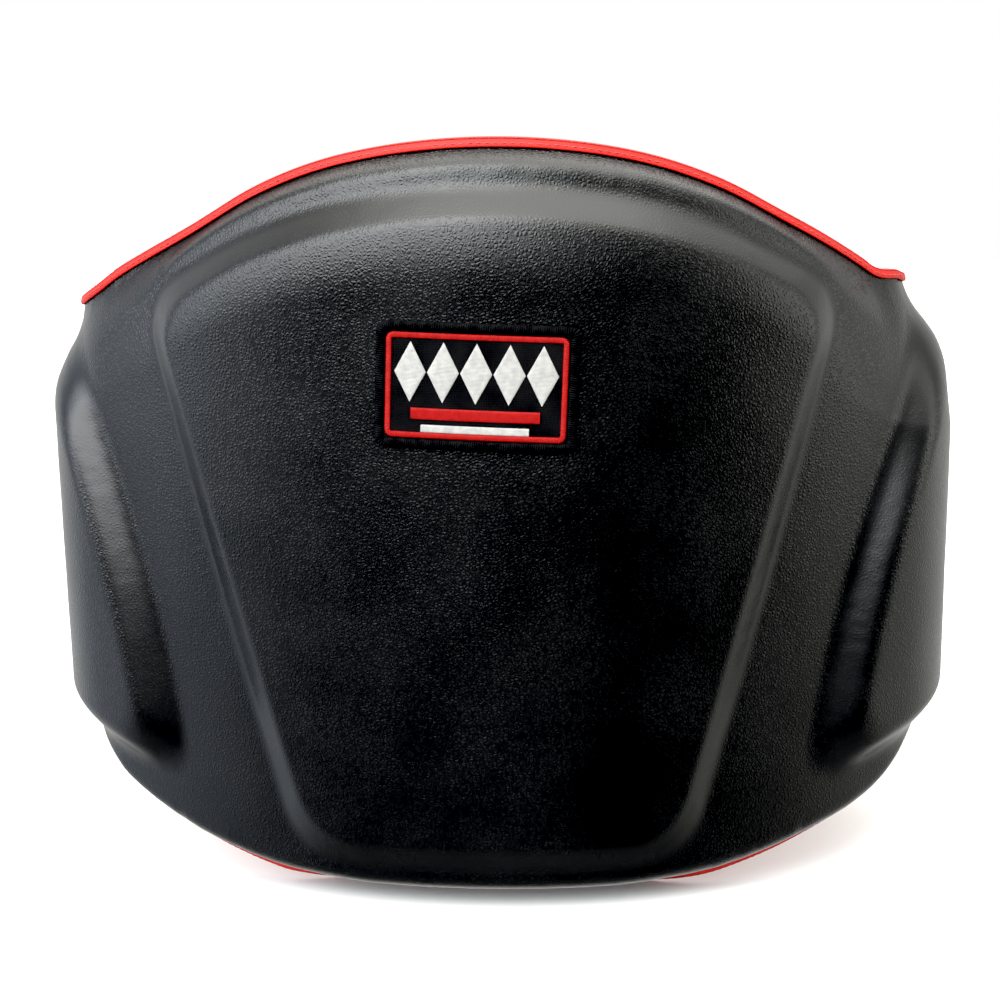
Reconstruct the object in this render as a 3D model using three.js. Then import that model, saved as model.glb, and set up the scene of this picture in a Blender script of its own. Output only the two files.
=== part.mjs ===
import * as THREE from 'three';
import { mergeVertices } from 'three/addons/utils/BufferGeometryUtils.js';

// Trainer belly pad: a curved padded shell worn on the front of the torso, closed at the
// back by a wide hook-and-loop waist belt. Millimetres, +Z up, the front faces -Y.
//
// The shell is drawn on a curved reference sheet. A point of it is (u, z, h): u is the
// distance round the body from the front centre line, z is the height and h is the
// distance out of the sheet. Every layer shares one grid, so thin gaps stay even.

// ---------- driving sizes ----------
const HALF_WRAP = 335;        // front centre line to a wing end, measured round the body
const CURVE_FRONT = 0.0029;   // curvature across the front, 1/mm
const CURVE_HIP = 0.0164;     // curvature at the hips
const CURVE_WING = 0.0046;    // curvature of the wings
const GAP = 0.3;              // clearance between touching pieces

const PANEL_RISE = 7.5;         // centre panel above the valley round it
const PANEL_SLOPE = 14;       // width of its bevel
const PANEL_TOP_INSET = 37;   // top rim to the flat of the panel
const PANEL_LOW_INSET = 34;   // bottom rim to the flat of the panel
const PAD_RISE = 14;          // side pads above the valley
const PAD_SLOPE = 18;
const RIGHT_PAD_TOP_INSET = 45;  // top rim to the flat of each side pad
const LEFT_PAD_TOP_INSET = 38;
const PAD_TOP_EASE = 0.6;      // steepness of their upper slopes beside the others
const PAD_END_INSET = 32;
const ROLL_RISE = 1.6;        // soft roll below the top binding
const ROLL_CREST = 12;        // rim to its crest
const ROLL_INSET = 21;        // rim to its foot
const HIP_FADE = 32;          // rim to the full height of the cover at the hips and wings
const RIM_FRONT = -4;         // h of the cover where the binding holds it
const RIM_BACK = -9;          // h of the lining where the binding holds it
const LOW_TUCK = 27;          // how much further in the bottom rim is tucked
const TUCK_ROUND = 16;        // rim to the foot of the round under edge
const LEAN_BACK = 21;         // how far the top rim leans back across the front
const LEAN_HEIGHT = 66;       // height over which it does
const HIP_LEAN = 10;          // how far the rim leans in at the wearer's left hip
const HIP_HEIGHT = 80;        // height over which it does
const HIP_RISE = 8;           // how much higher the top rim is behind that hip
const BACK_DEPTH = -43.5;     // h of the lining behind the full padding
const BACK_TAPER = 40;        // width over which the padding thins towards the rim

const COVER_THICK = 1.6;
const LINING_THICK = 1.2;
const INSERT_THICK = 8;
const IMPACT_SHARE = 0.52;    // share of the depth taken by the moulded front foam
const FOAM_INSET = 10;        // rim to the edge of the foams

const RIM_LINE = 3.2;         // first grid line in from the rim
const BINDING_LEG = 2.6;      // how far the binding reaches over each face
const BINDING_THICK = 1.2;
const RIM_GAP = 0.4;          // binding to the two faces it wraps
const WEB_GAP = 0.6;          // binding to the edge it wraps

const BELT_WIDTH = 100;
const BELT_ROOT_RISE = 98;    // bottom of the shell to the belt's lower edge at a wing
const BELT_THICK = 2;
const ELASTIC_THICK = 2.5;
const FACE_THICK = 1.5;       // hook and loop faces, and the leather reinforcements
const LOOP_BACK_Y = 276;      // inner face of the loop belt behind the wearer
const LOOP_TIP_X = 45;
const HOOK_TIP_X = -75;
const HOOK_START_X = 75;
const TAB_LENGTH = 32;

const PATCH_WIDTH = 98;
const PATCH_HEIGHT = 61;
const PATCH_U = -3.3;
const PATCH_Z = 258.3;
const PATCH_TILT = -2.65;     // degrees

// ---------- small helpers ----------
const clamp01 = (t) => Math.min(1, Math.max(0, t));
const lerp = (a, b, t) => a + (b - a) * t;

function smooth(x, a, b) {
  const t = clamp01((x - a) / (b - a));
  return t * t * (3 - 2 * t);
}

function smoothMin(a, b, k) {
  const t = clamp01(0.5 + 0.5 * (b - a) / k);
  return lerp(b, a, t) - k * t * (1 - t);
}

// A smooth curve through a few [u, value] points, level where two neighbours are level.
function through(points) {
  const secant = (i) => (points[i + 1][1] - points[i][1]) / (points[i + 1][0] - points[i][0]);
  const slope = points.map((p, i) => {
    if (i === 0) return 0;
    if (i === points.length - 1) return secant(i - 1);
    const [before, after] = [secant(i - 1), secant(i)];
    return before * after > 0 ? (before + after) / 2 : 0;
  });
  return (u) => {
    let i = 0;
    while (i < points.length - 2 && u > points[i + 1][0]) i += 1;
    const w = points[i + 1][0] - points[i][0];
    const t = clamp01((u - points[i][0]) / w);
    const rise = points[i + 1][1] - points[i][1];
    const bend = (1 - t) * (slope[i] * w - rise) + t * (rise - slope[i + 1] * w);
    return points[i][1] + rise * t + t * (1 - t) * bend;
  };
}

// ---------- the reference sheet ----------
const plan = [{ x: 0, y: 0, turn: 0 }];
for (let u = 0.5; u < HALF_WRAP + 6; u += 1) {
  const bend = CURVE_FRONT
    + (CURVE_HIP - CURVE_FRONT) * smooth(u, 217, 235)
    + (CURVE_WING - CURVE_HIP) * smooth(u, 255, 320);
  const last = plan[plan.length - 1];
  const middle = last.turn + bend / 2;
  plan.push({ x: last.x + Math.cos(middle), y: last.y + Math.sin(middle), turn: last.turn + bend });
}

function sheet(u) {
  const side = u < 0 ? -1 : 1;
  const distance = Math.abs(u);
  const i = Math.min(plan.length - 2, Math.floor(distance));
  const t = distance - i;
  return {
    side,
    x: lerp(plan[i].x, plan[i + 1].x, t),
    y: lerp(plan[i].y, plan[i + 1].y, t),
    turn: lerp(plan[i].turn, plan[i + 1].turn, t),
  };
}

function lean(u, z) {
  const t = clamp01(1 - (topEdge(u) - z) / LEAN_HEIGHT);
  const hip = clamp01(1 - (topEdge(u) - z) / HIP_HEIGHT);
  return LEAN_BACK * t * t * (1 - smooth(Math.abs(u), 150, 290))
    + HIP_LEAN * hip * smooth(u, 170, 235) * (1 - smooth(u, 300, HALF_WRAP));
}

function at(u, z, h) {
  const p = sheet(u);
  const out = h - lean(u, z);
  return new THREE.Vector3(p.side * (p.x + out * Math.sin(p.turn)), p.y - out * Math.cos(p.turn), z);
}

// ---------- outline and relief ----------
const topCurve = through([
  [0, 374.5], [75, 368], [125, 354.5], [175, 333], [215, 315.5], [240, 303.5], [262, 297], [290, 295],
  [335, 292],
]);
const lowCurve = through([
  [0, -12], [60, -12], [120, -6], [175, 5.5], [225, 21], [260, 41], [300, 57], [335, 64],
]);
const padLowCurve = through([[0, 47], [120, 49], [172, 61], [205, 63], [250, 75], [335, 91]]);

const wingEnd = (u) => smooth(Math.abs(u), HALF_WRAP - 34, HALF_WRAP + 6);
const topEdge = (u) => topCurve(Math.abs(u)) + HIP_RISE * smooth(u, 225, 262) - 16 * wingEnd(u);
const lowEdge = (u) => lowCurve(Math.abs(u)) + 10 * wingEnd(u);
const padLow = (u) => padLowCurve(Math.abs(u));
const panelSide = (z) => 86 + 0.292 * z;
const padSide = (z) => 172 + 0.00103 * Math.min(z, 285) ** 2;

// How much shorter a step across a sloping edge is than the same step up.
function squareTo(edge, u) {
  const grade = (edge(u + 1) - edge(u - 1)) / 2;
  return 1 / Math.hypot(1, grade);
}

function rimDistance(u, z) {
  const top = (topEdge(u) - z) * squareTo(topEdge, u);
  const low = (z - lowEdge(u)) * squareTo(lowEdge, u);
  return { top, low, end: HALF_WRAP - Math.abs(u) };
}

// How far the bottom rim is tucked in: most at the front, less towards the hips, none at the wings.
function tucked(u, rim) {
  const across = Math.abs(u);
  const shown = u < 0 ? 165 : 200;
  const eased = 1 - 0.5 * smooth(across, 70, 125) * (1 - smooth(across, shown, shown + 60));
  return eased * (1 - smooth(across, 200, 330)) * (1 - smooth(rim.low, 20, 90));
}

// 0 on the rim line, rising steeply and then rounding off to 1.
function underEdge(near) {
  const t = clamp01((near - RIM_LINE) / (TUCK_ROUND - RIM_LINE));
  return Math.sqrt(1 - (1 - t) ** 2);
}

function relief(u, z) {
  const rim = rimDistance(u, z);
  const across = Math.abs(u);
  let panel = smoothMin(rim.top - PANEL_TOP_INSET, rim.low - PANEL_LOW_INSET, 10);
  panel = smoothMin(panel, (panelSide(z) - across) * 0.96, 24);
  const topInset = u < 0 ? RIGHT_PAD_TOP_INSET : LEFT_PAD_TOP_INSET;
  let pad = smoothMin((rim.top - topInset) * PAD_TOP_EASE, z - padLow(u), 10);
  pad = smoothMin(pad, across - padSide(z) - PAD_SLOPE, 26);
  pad = smoothMin(pad, rim.end - PAD_END_INSET, 14);
  const raised = Math.max(
    PANEL_RISE * smooth(panel, -PANEL_SLOPE, 0),
    PAD_RISE * smooth(pad, -PAD_SLOPE + 1, 0),
  );
  const near = Math.min(rim.top, rim.low, rim.end);
  const share = tucked(u, rim);
  const hip = smooth(across, 150, 225);
  const edge = RIM_FRONT - LOW_TUCK * share;
  const crest = ROLL_RISE * (1 - share) * (1 - hip);
  const roll = edge * (1 - smooth(near, RIM_LINE, lerp(ROLL_CREST, HIP_FADE, hip)))
    + crest * smooth(near, RIM_LINE, ROLL_CREST) * (1 - smooth(near, ROLL_CREST, ROLL_INSET));
  const under = edge * (1 - underEdge(near));
  return raised + lerp(roll, under, Math.min(1, 2 * share));
}

function liningBack(u, z) {
  const rim = rimDistance(u, z);
  const near = Math.min(rim.top, rim.low, rim.end);
  const edge = RIM_BACK - LOW_TUCK * tucked(u, rim);
  const t = clamp01((near - RIM_LINE) / BACK_TAPER);
  return lerp(edge, BACK_DEPTH, Math.sin(t * Math.PI / 2));
}

// ---------- the shared grid ----------
// Columns follow the panel's side and the side pad's slope. Rows follow the rims.
const columns = [
  () => 0,
  (z) => 0.25 * panelSide(z),
  (z) => 0.5 * panelSide(z),
  (z) => 0.75 * panelSide(z),
  (z) => panelSide(z),
  (z) => panelSide(z) + PANEL_SLOPE,
  ...[0.36, 0.62, 0.82].map((t) => (z) => lerp(panelSide(z) + PANEL_SLOPE, padSide(z), t)),
  (z) => padSide(z),
  (z) => padSide(z) + PAD_SLOPE / 2,
  (z) => padSide(z) + PAD_SLOPE,
  ...[0.2, 0.4, 0.6, 0.8].map((t) => (z) => lerp(padSide(z) + PAD_SLOPE, HALF_WRAP - PAD_END_INSET, t)),
  () => HALF_WRAP - PAD_END_INSET,
  () => HALF_WRAP - PAD_END_INSET + PAD_SLOPE - 1,
  () => HALF_WRAP - FOAM_INSET,
  () => HALF_WRAP - RIM_LINE,
  () => HALF_WRAP,
];
const LAST_COLUMN = columns.length - 1;
const SPLIT_COLUMN = 7;

const fromLow = (inset) => (u) => lowEdge(u) + inset / squareTo(lowEdge, u);
const fromTop = (inset) => (u) => topEdge(u) - inset / squareTo(topEdge, u);
const outward = (u) => smooth(Math.abs(u), 110, 250);
const rowBevelFoot = (u) => lerp(fromLow(PANEL_LOW_INSET - PANEL_SLOPE)(u), fromLow(18)(u), outward(u));
const rowPanelLow = (u) => lerp(fromLow(PANEL_LOW_INSET)(u), fromLow(22)(u), outward(u));
const rowPadFoot = (u) => lerp(fromLow(40)(u), padLow(u) - PAD_SLOPE + 1, outward(u));
const rowPadSlope = (u) => Math.max(rowPadFoot(u), rowPanelLow(u) + 3);
const rowPadLow = (u) => Math.max(padLow(u), rowPadSlope(u) + 6);
const rows = [
  fromLow(0),
  fromLow(RIM_LINE),
  fromLow(FOAM_INSET),
  fromLow(TUCK_ROUND),
  rowBevelFoot,
  rowPanelLow,
  rowPadSlope,
  rowPadLow,
  ...[0.25, 0.5, 0.75].map((t) => (u) => lerp(rowPadLow(u), fromTop(PANEL_TOP_INSET)(u), t)),
  fromTop(PANEL_TOP_INSET),
  fromTop(PANEL_TOP_INSET - PANEL_SLOPE),
  fromTop(ROLL_INSET),
  fromTop(FOAM_INSET),
  fromTop(RIM_LINE),
  fromTop(0),
];
const LAST_ROW = rows.length - 1;

function gridPoint(i, j) {
  const side = i < 0 ? -1 : 1;
  const column = columns[Math.abs(i)];
  let z = rows[j](side * column(180));
  let u = side * column(z);
  for (let step = 0; step < 40; step += 1) {
    z = rows[j](u);
    u = side * column(z);
  }
  return { u, z };
}

// ---------- closed meshes ----------
// A closed slab over a rectangle of places: front(i, j) and back(i, j) give its two faces.
function slab(countI, countJ, front, back) {
  const positions = [];
  const faces = [];
  const index = (i, j, layer) => (layer * (countI + 1) + i) * (countJ + 1) + j;
  [front, back].forEach((face) => {
    for (let i = 0; i <= countI; i += 1) {
      for (let j = 0; j <= countJ; j += 1) positions.push(...face(i, j).toArray());
    }
  });
  const quad = (a, b, c, d) => faces.push(a, b, c, a, c, d);
  for (let i = 0; i < countI; i += 1) {
    for (let j = 0; j < countJ; j += 1) {
      quad(index(i, j, 0), index(i + 1, j, 0), index(i + 1, j + 1, 0), index(i, j + 1, 0));
      faces.push(index(i, j, 1), index(i + 1, j + 1, 1), index(i + 1, j, 1));
      faces.push(index(i, j, 1), index(i, j + 1, 1), index(i + 1, j + 1, 1));
    }
  }
  for (let i = 0; i < countI; i += 1) {
    quad(index(i, 0, 0), index(i, 0, 1), index(i + 1, 0, 1), index(i + 1, 0, 0));
    quad(index(i, countJ, 0), index(i + 1, countJ, 0), index(i + 1, countJ, 1), index(i, countJ, 1));
  }
  for (let j = 0; j < countJ; j += 1) {
    quad(index(0, j, 0), index(0, j + 1, 0), index(0, j + 1, 1), index(0, j, 1));
    quad(index(countI, j, 0), index(countI, j, 1), index(countI, j + 1, 1), index(countI, j + 1, 0));
  }
  return closedGeometry(positions, faces);
}

// A solid swept along sections: each section is a ring of points, given in one order.
function sweep(sections, looped) {
  const ring = sections[0].length;
  const positions = sections.flatMap((section) => section.flatMap((p) => p.toArray()));
  const faces = [];
  const spans = looped ? sections.length : sections.length - 1;
  for (let s = 0; s < spans; s += 1) {
    const next = (s + 1) % sections.length;
    for (let k = 0; k < ring; k += 1) {
      const other = (k + 1) % ring;
      const a = s * ring + k;
      const b = s * ring + other;
      const c = next * ring + other;
      const d = next * ring + k;
      faces.push(a, b, c, a, c, d);
    }
  }
  return { positions, faces, ring };
}

function closedGeometry(positions, faces) {
  const geometry = new THREE.BufferGeometry();
  geometry.setAttribute('position', new THREE.Float32BufferAttribute(positions, 3));
  geometry.setIndex(faces);
  const merged = mergeVertices(geometry, 1e-4);
  const p = merged.getAttribute('position');
  const order = merged.getIndex();
  let volume = 0;
  const a = new THREE.Vector3();
  const b = new THREE.Vector3();
  const c = new THREE.Vector3();
  for (let k = 0; k < order.count; k += 3) {
    a.fromBufferAttribute(p, order.getX(k));
    b.fromBufferAttribute(p, order.getX(k + 1));
    c.fromBufferAttribute(p, order.getX(k + 2));
    volume += a.dot(b.cross(c)) / 6;
  }
  if (volume < 0) {
    for (let k = 0; k < order.count; k += 3) {
      const keep = order.getX(k + 1);
      order.setX(k + 1, order.getX(k + 2));
      order.setX(k + 2, keep);
    }
  }
  merged.computeVertexNormals();
  return merged;
}

const part = new THREE.Group();
part.name = 'trainer_belly_pad';

function add(name, geometry, color, roughness) {
  const material = new THREE.MeshStandardMaterial({ color, roughness, metalness: 0 });
  material.name = name;
  const mesh = new THREE.Mesh(geometry, material);
  mesh.name = name;
  part.add(mesh);
}

const BLACK_LEATHER = 0x1b1b1e;
const RED_LEATHER = 0xe0483c;
const BLACK_FOAM = 0x2a2a2c;
const GREY_FOAM = 0x8b8d90;
const BLUE_FOAM = 0x3c5a80;
const BLACK_CLOTH = 0x161618;
const WHITE_THREAD = 0xf2f0ea;
const RED_THREAD = 0xd2282a;

// ---------- the padded shell ----------
const coverFront = (u, z) => relief(u, z);
const coverBack = (u, z) => relief(u, z) - COVER_THICK;
const liningFront = (u, z) => liningBack(u, z) + LINING_THICK;
const splitLevel = (u, z) => IMPACT_SHARE * liningFront(u, z);

const INSERT_ROW = [5, LAST_ROW - 5];
const INSERT_COLUMN = LAST_COLUMN - 4;

function inPocket(i, j) {
  return j >= INSERT_ROW[0] && j <= INSERT_ROW[1] && Math.abs(i) <= INSERT_COLUMN;
}

// trim pulls the two outermost columns in by that share of their grid cell.
function shellSlab(i0, i1, j0, j1, frontLevel, backLevel, trim = 0) {
  const place = (level) => (a, b) => {
    const corner = (i) => {
      const p = gridPoint(i, j0 + b);
      return at(p.u, p.z, level(p.u, p.z, i, j0 + b));
    };
    const i = i0 + a;
    if (a === 0) return corner(i).lerp(corner(i + 1), trim);
    if (i === i1) return corner(i).lerp(corner(i - 1), trim);
    return corner(i);
  };
  return slab(i1 - i0, j1 - j0, place(frontLevel), place(backLevel));
}

const foamColumn = LAST_COLUMN - 2;
const foamRows = [2, LAST_ROW - 2];

const cover = shellSlab(-LAST_COLUMN, LAST_COLUMN, 0, LAST_ROW, coverFront, coverBack);
add('outer_cover', cover, BLACK_LEATHER, 0.45);
add('impact_foam', shellSlab(
  -foamColumn, foamColumn, foamRows[0], foamRows[1],
  (u, z) => coverBack(u, z) - GAP,
  splitLevel,
), BLACK_FOAM, 0.9);

const insertSpans = {
  right_insert: [-INSERT_COLUMN, -SPLIT_COLUMN],
  center_insert: [-SPLIT_COLUMN, SPLIT_COLUMN],
  left_insert: [SPLIT_COLUMN, INSERT_COLUMN],
};
Object.entries(insertSpans).forEach(([name, span]) => {
  add(name, shellSlab(
    span[0], span[1], INSERT_ROW[0], INSERT_ROW[1],
    (u, z) => splitLevel(u, z) - GAP,
    (u, z) => splitLevel(u, z) - GAP - INSERT_THICK,
    0.05,
  ), BLUE_FOAM, 0.85);
});

add('comfort_foam', shellSlab(
  -foamColumn, foamColumn, foamRows[0], foamRows[1],
  (u, z, i, j) => splitLevel(u, z) - GAP - (inPocket(i, j) ? INSERT_THICK + GAP : 0),
  (u, z) => liningFront(u, z) + GAP,
), GREY_FOAM, 0.95);
add('lining', shellSlab(-LAST_COLUMN, LAST_COLUMN, 0, LAST_ROW, liningFront, liningBack), RED_LEATHER, 0.55);

// ---------- bindings ----------
// The binding is a folded strip: two legs over the rim's faces and a web past its edge.
const outFront = RIM_FRONT + RIM_GAP + BINDING_THICK;
const inFront = RIM_FRONT + RIM_GAP;
const outBack = RIM_BACK - RIM_GAP - BINDING_THICK;
const inBack = RIM_BACK - RIM_GAP;
const web = WEB_GAP + BINDING_THICK;
const bindingProfile = [
  [-BINDING_LEG, outFront], [web, outFront], [web, outBack], [-BINDING_LEG, outBack],
  [-BINDING_LEG, inBack], [WEB_GAP, inBack], [WEB_GAP, inFront], [-BINDING_LEG, inFront],
];
const profileCaps = [[7, 0, 1], [7, 1, 6], [6, 1, 2], [6, 2, 5], [5, 2, 3], [5, 3, 4]];

// edge and inner are matching points of the rim and of the grid line next to it.
function binding(path) {
  const sections = path.map(({ edge, inner }) => bindingProfile.map(([d, h]) => {
    const t = d / RIM_LINE;
    const setback = LOW_TUCK * tucked(edge.u, rimDistance(edge.u, edge.z));
    return at(edge.u + t * (edge.u - inner.u), edge.z + t * (edge.z - inner.z), h - setback);
  }));
  const { positions, faces, ring } = sweep(sections, false);
  const end = (sections.length - 1) * ring;
  profileCaps.forEach(([a, b, c]) => {
    faces.push(a, c, b);
    faces.push(end + a, end + b, end + c);
  });
  return closedGeometry(positions, faces);
}

function levelPath(row, nextRow) {
  const path = [];
  for (let i = -LAST_COLUMN; i <= LAST_COLUMN; i += 1) {
    path.push({ edge: gridPoint(i, row), inner: gridPoint(i, nextRow) });
  }
  return path;
}

function endPath(side) {
  const path = [];
  for (let j = 2; j <= LAST_ROW - 2; j += 1) {
    path.push({ edge: gridPoint(side * LAST_COLUMN, j), inner: gridPoint(side * (LAST_COLUMN - 1), j) });
  }
  return path;
}

add('top_binding', binding(levelPath(LAST_ROW, LAST_ROW - 1)), RED_LEATHER, 0.5);
add('bottom_binding', binding(levelPath(0, 1)), RED_LEATHER, 0.5);
add('left_end_binding', binding(endPath(1)), RED_LEATHER, 0.5);
add('right_end_binding', binding(endPath(-1)), RED_LEATHER, 0.5);

// ---------- sewn patch on the centre panel ----------
const tilt = PATCH_TILT * Math.PI / 180;

function onPatch(s, t, lift) {
  const u = PATCH_U + (s * Math.cos(tilt) - t * Math.sin(tilt)) / (1 + PANEL_RISE * CURVE_FRONT);
  const z = PATCH_Z + s * Math.sin(tilt) + t * Math.cos(tilt);
  return at(u, z, PANEL_RISE + lift);
}

function patchSlab(s0, s1, t0, t1, low, high) {
  const count = Math.max(1, Math.round((s1 - s0) / 10));
  const place = (lift) => (i, j) => onPatch(lerp(s0, s1, i / count), j ? t1 : t0, lift);
  return slab(count, 1, place(high), place(low));
}

function patchRing(width, height, thick, low, high) {
  const stations = [];
  const corners = [[1, 1], [-1, 1], [-1, -1], [1, -1]];
  corners.forEach(([a, b], k) => {
    const [c, d] = corners[(k + 1) % 4];
    const steps = b === d ? 10 : 1;
    for (let n = 0; n < steps; n += 1) {
      stations.push([lerp(a, c, n / steps), lerp(b, d, n / steps)]);
    }
  });
  const sections = stations.map(([a, b]) => {
    const outer = [a * width / 2, b * height / 2];
    const inner = [a * (width / 2 - thick), b * (height / 2 - thick)];
    return [onPatch(...outer, low), onPatch(...outer, high), onPatch(...inner, high), onPatch(...inner, low)];
  });
  const { positions, faces } = sweep(sections, true);
  return closedGeometry(positions, faces);
}

const TWILL_TOP = GAP + 0.9;
const THREAD_LOW = TWILL_TOP + 0.1;
const twill = patchSlab(-PATCH_WIDTH / 2, PATCH_WIDTH / 2, -PATCH_HEIGHT / 2, PATCH_HEIGHT / 2, GAP, TWILL_TOP);
add('patch_backing', twill, BLACK_CLOTH, 0.8);
add('patch_border', patchRing(PATCH_WIDTH, PATCH_HEIGHT, 4.4, THREAD_LOW, THREAD_LOW + 1), BLACK_CLOTH, 0.7);
const satinFrame = patchRing(PATCH_WIDTH - 10, PATCH_HEIGHT - 9.4, 2.4, THREAD_LOW, THREAD_LOW + 0.6);
add('patch_frame', satinFrame, RED_THREAD, 0.5);

// A plain row of diamonds over two bars.
const DIAMONDS = 5;
const DIAMOND_PITCH = 15.9;
const DIAMOND_Z = 6.5;
for (let k = 0; k < DIAMONDS; k += 1) {
  const middle = (k - (DIAMONDS - 1) / 2) * DIAMOND_PITCH;
  const half = [7.6, 14.5];
  const ring = [[1, 0], [0, 1], [-1, 0], [0, -1]];
  const faces = [0, 1, 2, 0, 2, 3, 4, 6, 5, 4, 7, 6];
  const positions = [THREAD_LOW + 0.6, THREAD_LOW].flatMap((lift) => (
    ring.flatMap(([a, b]) => onPatch(middle + a * half[0], DIAMOND_Z + b * half[1], lift).toArray())
  ));
  for (let side = 0; side < 4; side += 1) {
    const next = (side + 1) % 4;
    faces.push(side, side + 4, next + 4, side, next + 4, next);
  }
  add(`patch_diamond_${k + 1}`, closedGeometry(positions, faces), WHITE_THREAD, 0.55);
}
add('patch_bar_red', patchSlab(-31, 31, -16.3, -10.8, THREAD_LOW, THREAD_LOW + 0.6), RED_THREAD, 0.5);
add('patch_bar_white', patchSlab(-26, 26, -22.5, -18.8, THREAD_LOW, THREAD_LOW + 0.6), WHITE_THREAD, 0.55);

// ---------- waist belt ----------
// Each half leaves its wing, turns through an arc to run straight along X behind the
// wearer, and sinks until its lower edge lies level with the bottom of the shell.
function beltPath(side, rootLevel, backY) {
  const wing = sheet(HALF_WRAP);
  const root = at(HALF_WRAP, 0, rootLevel);
  root.x += (web + 0.5) * Math.cos(wing.turn);
  root.y += (web + 0.5) * Math.sin(wing.turn);
  const radius = (backY - root.y) / (1 + Math.cos(wing.turn));
  const arc = radius * (Math.PI - wing.turn);
  const arcEndX = root.x - radius * Math.sin(wing.turn);
  const middle = arc + arcEndX;
  const drop = (run) => lowEdge(0) + BELT_ROOT_RISE * smooth(Math.abs(middle - run), 25, middle);
  const point = (run, w, lift) => {
    const turn = Math.min(Math.PI, wing.turn + run / radius);
    const past = Math.max(0, run - arc);
    const x = root.x + radius * (Math.sin(turn) - Math.sin(wing.turn)) - past + lift * Math.sin(turn);
    const y = root.y - radius * (Math.cos(turn) - Math.cos(wing.turn)) - lift * Math.cos(turn);
    const grade = drop(run + 0.5) - drop(run - 0.5);
    return new THREE.Vector3(side * x, y, drop(run) - web + w * Math.hypot(1, grade));
  };
  const runAtX = (x) => arc + arcEndX - x;
  return { point, arc, runAtX };
}

function beltStrip(path, run0, run1, w0, w1, low, high, count) {
  const place = (lift) => (i, j) => path.point(lerp(run0, run1, i / count), j ? w1 : w0, lift);
  return slab(count, 1, place(high), place(low));
}

const loopPath = beltPath(-1, RIM_BACK - 1.2, LOOP_BACK_Y);
const loopTop = BELT_THICK + GAP + FACE_THICK;
const hookPath = beltPath(1, RIM_FRONT - 1.5, LOOP_BACK_Y + loopTop + 0.6 + FACE_THICK + GAP);
const hookStart = hookPath.runAtX(HOOK_START_X);
const hookTip = hookPath.runAtX(HOOK_TIP_X);
const PATCH_LENGTH = 38;

const loopTip = loopPath.runAtX(-LOOP_TIP_X);
add('loop_belt', beltStrip(loopPath, 0, loopTip, 0, BELT_WIDTH, 0, BELT_THICK, 18), BLACK_CLOTH, 0.85);
add('loop_anchor_patch', beltStrip(
  loopPath, 0.5, PATCH_LENGTH, 2, BELT_WIDTH - 2, BELT_THICK + GAP, loopTop, 3,
), BLACK_LEATHER, 0.45);
add('loop_panel', beltStrip(
  loopPath, loopPath.runAtX(120), loopTip - 3, 4, BELT_WIDTH - 4, BELT_THICK + GAP, loopTop, 12,
), BLACK_CLOTH, 1);

const elastic = beltStrip(hookPath, 0, hookStart - 0.4, 0, BELT_WIDTH, 0, ELASTIC_THICK, 14);
add('elastic_panel', elastic, BLACK_CLOTH, 0.8);
const patchLow = ELASTIC_THICK + GAP;
add('elastic_anchor_patch', beltStrip(
  hookPath, 0.5, PATCH_LENGTH, 2, BELT_WIDTH - 2, patchLow, patchLow + FACE_THICK, 3,
), BLACK_LEATHER, 0.45);
add('hook_base', beltStrip(hookPath, hookStart, hookTip, 0, BELT_WIDTH, 0, BELT_THICK, 8), BLACK_CLOTH, 0.85);
add('hook_join_patch', beltStrip(
  hookPath, hookStart - 12, hookStart + 18, 2, BELT_WIDTH - 2, patchLow, patchLow + FACE_THICK, 3,
), BLACK_LEATHER, 0.45);
add('hook_panel', beltStrip(
  hookPath, hookPath.runAtX(LOOP_TIP_X), hookTip - 5, 4, BELT_WIDTH - 4, -GAP - FACE_THICK, -GAP, 6,
), BLACK_CLOTH, 0.9);
add('pull_tab', beltStrip(
  hookPath, hookTip + 0.6, hookTip + TAB_LENGTH, 22, BELT_WIDTH - 22, 0, BELT_THICK, 2,
), RED_LEATHER, 0.5);

// ---------- row frame: bottom centre of the bounding box at the origin ----------
const box = new THREE.Box3().setFromObject(part);
const shift = new THREE.Vector3((box.min.x + box.max.x) / -2, (box.min.y + box.max.y) / -2, -box.min.z);
part.children.forEach((mesh) => mesh.geometry.translate(shift.x, shift.y, shift.z));

export default part;
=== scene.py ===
"""Trainer belly pad: the visual model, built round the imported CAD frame."""
import math

import bpy
import numpy as np
from mathutils import Matrix, Vector


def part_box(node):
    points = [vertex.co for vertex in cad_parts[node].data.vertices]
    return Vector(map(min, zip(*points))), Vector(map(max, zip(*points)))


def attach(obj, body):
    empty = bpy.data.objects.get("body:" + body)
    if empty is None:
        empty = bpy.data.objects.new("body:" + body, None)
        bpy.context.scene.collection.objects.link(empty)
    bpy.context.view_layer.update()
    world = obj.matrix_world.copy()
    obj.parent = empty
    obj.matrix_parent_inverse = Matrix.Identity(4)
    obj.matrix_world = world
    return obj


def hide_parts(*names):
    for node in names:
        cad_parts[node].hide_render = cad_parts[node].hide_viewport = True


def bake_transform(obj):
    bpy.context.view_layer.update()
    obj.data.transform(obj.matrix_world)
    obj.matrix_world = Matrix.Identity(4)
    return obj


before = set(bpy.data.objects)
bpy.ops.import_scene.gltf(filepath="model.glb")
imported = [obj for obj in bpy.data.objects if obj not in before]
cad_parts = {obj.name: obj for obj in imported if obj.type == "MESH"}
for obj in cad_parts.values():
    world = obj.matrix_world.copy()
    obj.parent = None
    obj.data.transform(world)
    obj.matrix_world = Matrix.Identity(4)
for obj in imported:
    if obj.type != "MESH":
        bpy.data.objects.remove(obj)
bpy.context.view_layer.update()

# ---------- driving sizes, millimetres, as in the CAD source ----------
MM = 0.001
HALF_WRAP = 335.0
CURVE_FRONT = 0.0029
CURVE_HIP = 0.0164
CURVE_WING = 0.0046
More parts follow.
